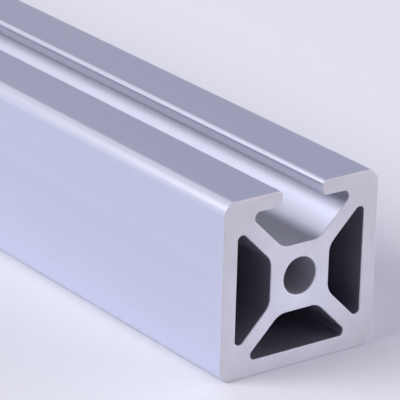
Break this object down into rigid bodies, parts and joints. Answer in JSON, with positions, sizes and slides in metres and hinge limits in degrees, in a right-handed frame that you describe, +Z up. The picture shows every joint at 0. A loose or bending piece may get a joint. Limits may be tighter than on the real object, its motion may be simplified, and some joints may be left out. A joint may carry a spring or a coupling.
{
  "type": "aluminium extrusion profile",
  "caption": "Straight square building profile of extruded aluminium, with a T-slot along one side, closed sides, diagonal webs and a round core bore, cut square at its ends.",
  "frame": {"origin": "centre of the closed bottom side, midway between the sawn ends, on the surface that the bar lies on", "axes": "+X along the bar towards the end that the picture shows, +Y across it, +Z up through the T-slot, which is on top"},
  "size_m": [0.3, 0.02, 0.02],
  "materials": {
    "anodised_aluminium": "satin natural anodised"
  },
  "bodies": {
    "root": {"extruded_profile": "anodised_aluminium"}
  },
  "joints": []
}
